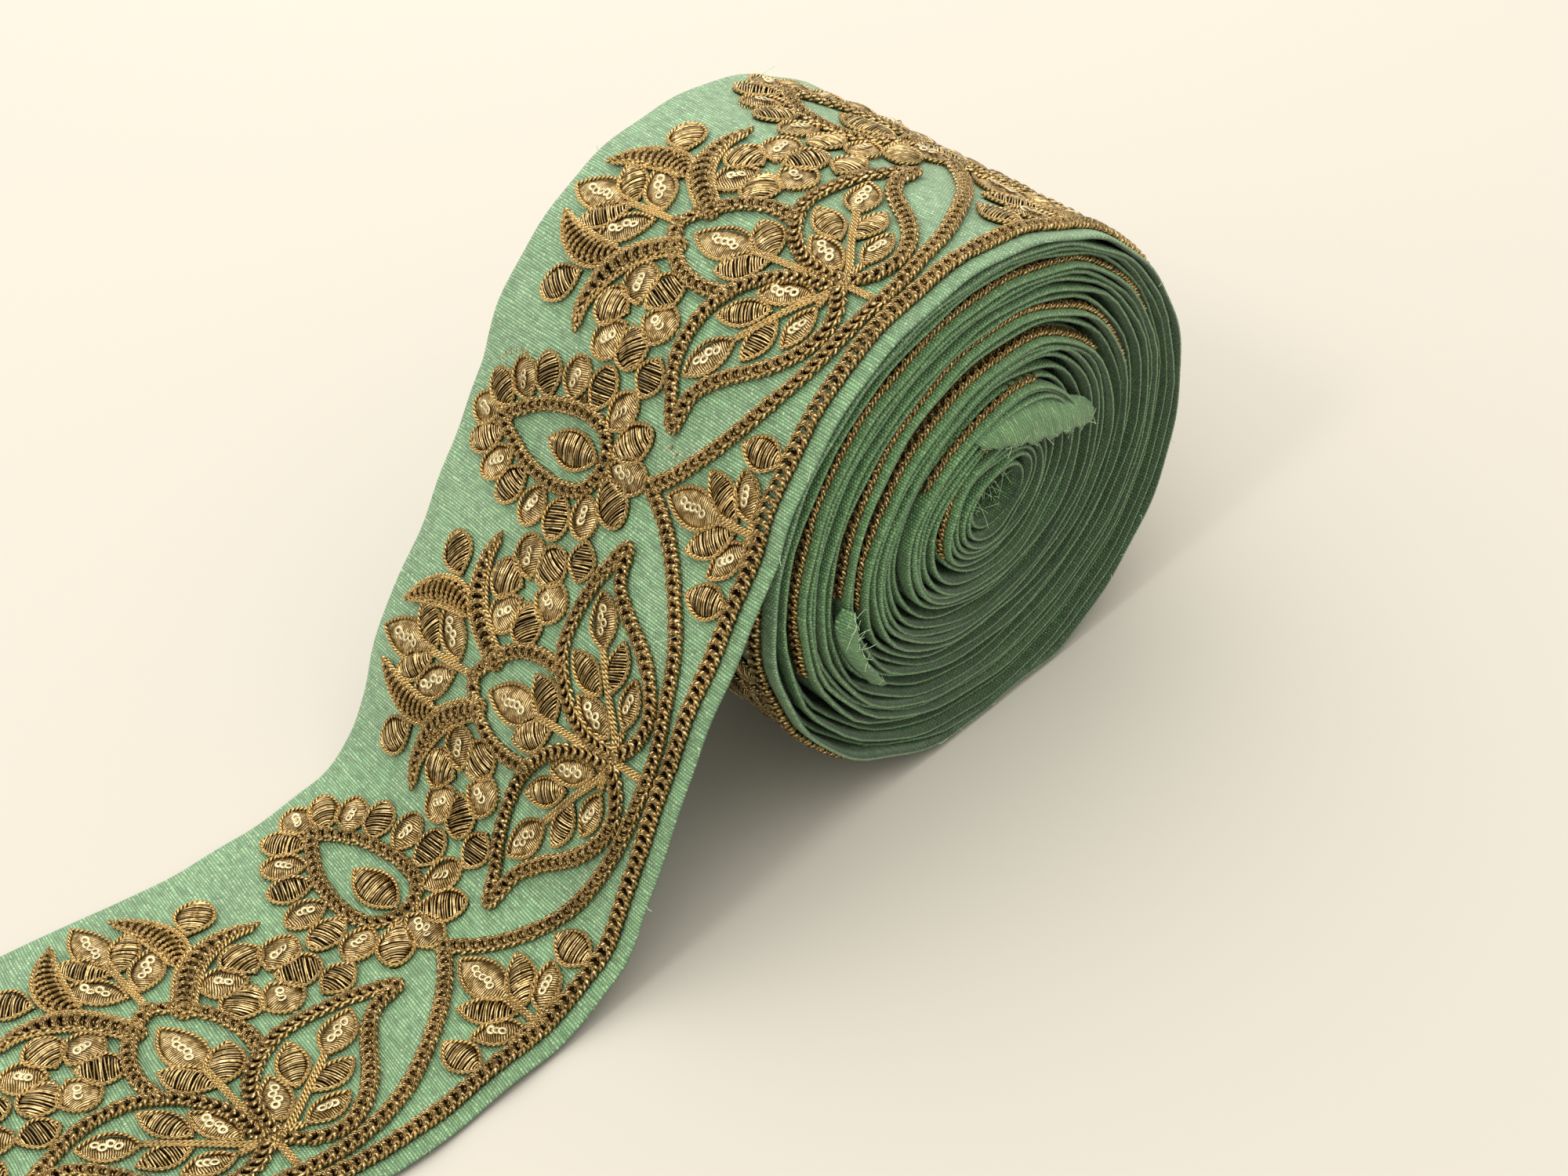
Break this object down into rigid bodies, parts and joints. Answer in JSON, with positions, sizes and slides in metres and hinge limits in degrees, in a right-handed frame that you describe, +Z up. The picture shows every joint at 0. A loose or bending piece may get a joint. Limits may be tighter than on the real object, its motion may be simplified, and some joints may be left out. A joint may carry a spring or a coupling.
{
  "type": "embroidered border trim",
  "caption": "Hemmed cloth border band, embroidered along its length, wound into an oval roll with one loose end sloping down to the table.",
  "frame": {"origin": "middle of the flat spot on which the roll stands", "axes": "+X along the band, away from the loose end; +Y across the band, from the near edge to the far edge; +Z up"},
  "size_m": [0.3387, 0.1237, 0.1052],
  "materials": {
    "cloth": "matt slubbed silk"
  },
  "bodies": {
    "root": {"wound_roll": "cloth", "loose_end": "cloth"}
  },
  "joints": []
}
